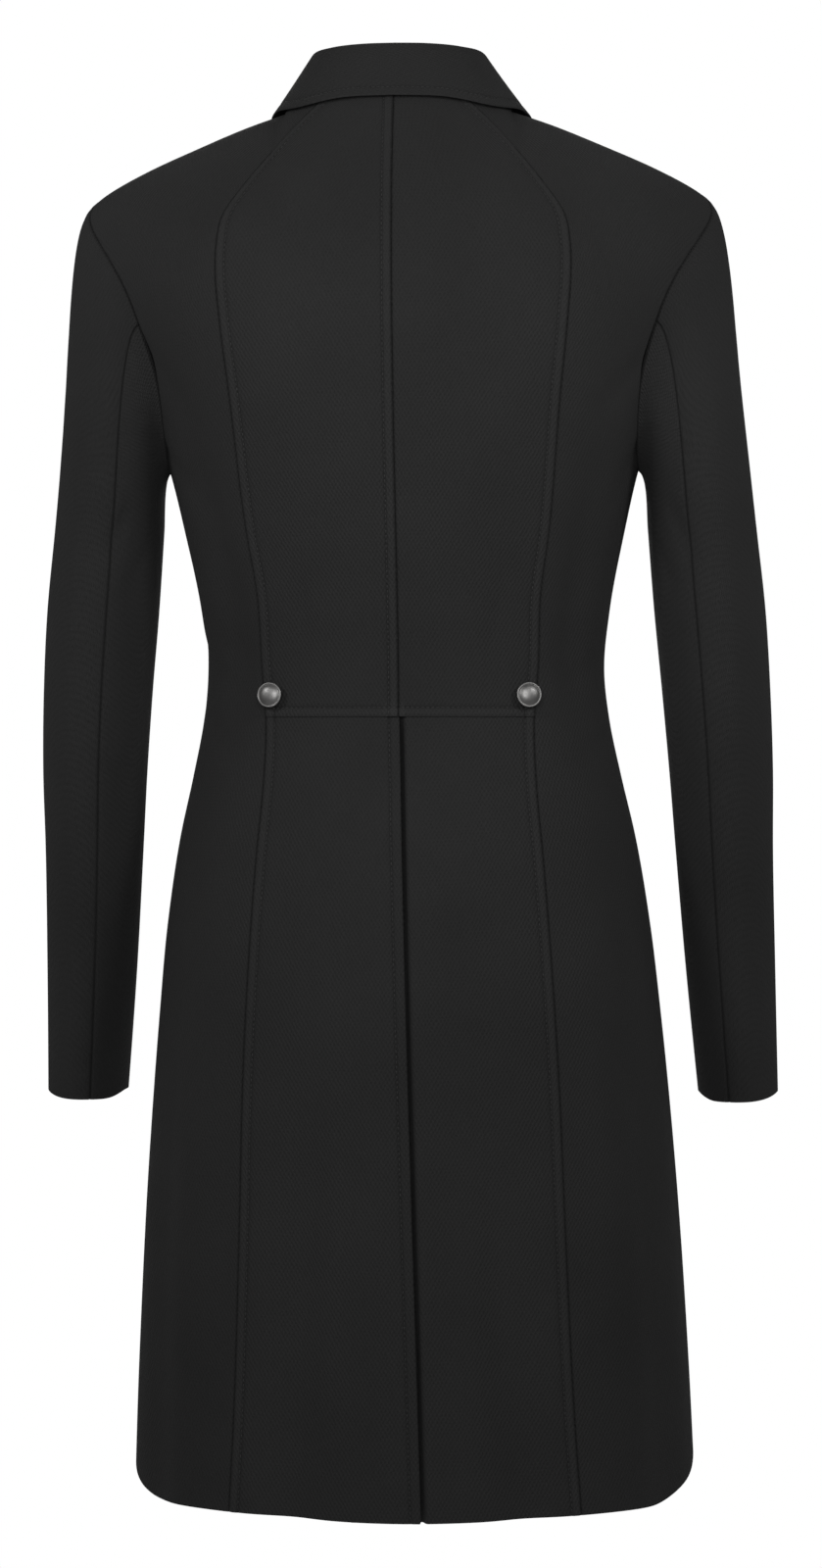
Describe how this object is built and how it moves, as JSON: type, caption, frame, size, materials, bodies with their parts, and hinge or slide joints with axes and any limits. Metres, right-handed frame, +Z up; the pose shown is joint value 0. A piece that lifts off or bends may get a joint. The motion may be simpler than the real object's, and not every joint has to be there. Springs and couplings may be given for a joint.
{
  "type": "shadbelly dressage tailcoat",
  "caption": "Black women's dressage tailcoat in worn form: short double-breasted front, seamed back, long split tails, two-piece sleeves, folded collar and waist buttons.",
  "frame": {"origin": "base of the neck midway between the shoulder tops, where the wearer's shoulders hold the coat up", "axes": "+Z up along the coat's length, -Y towards the wearer's front, +X towards the wearer's left"},
  "size_m": [0.4991, 0.258, 0.9672],
  "materials": {
    "cloth": "matt, finely dimpled weave",
    "collar_cloth": "matt, finely dimpled weave",
    "pewter": "dull polished, darkened in the rim"
  },
  "bodies": {
    "root": {"back_left": "cloth", "back_right": "cloth", "side_left": "cloth", "side_right": "cloth", "tail_left": "cloth", "tail_right": "cloth", "front_left": "cloth", "front_right": "cloth", "lapel_left": "cloth", "lapel_right": "cloth", "collar": "collar_cloth", "sleeve_upper_left": "cloth", "sleeve_upper_right": "cloth", "sleeve_under_left": "cloth", "sleeve_under_right": "cloth", "waist_button_left": "pewter", "waist_button_right": "pewter", "front_button_left_1": "pewter", "front_button_left_2": "pewter", "front_button_left_3": "pewter", "front_button_right_1": "pewter", "front_button_right_2": "pewter", "front_button_right_3": "pewter"}
  },
  "joints": []
}
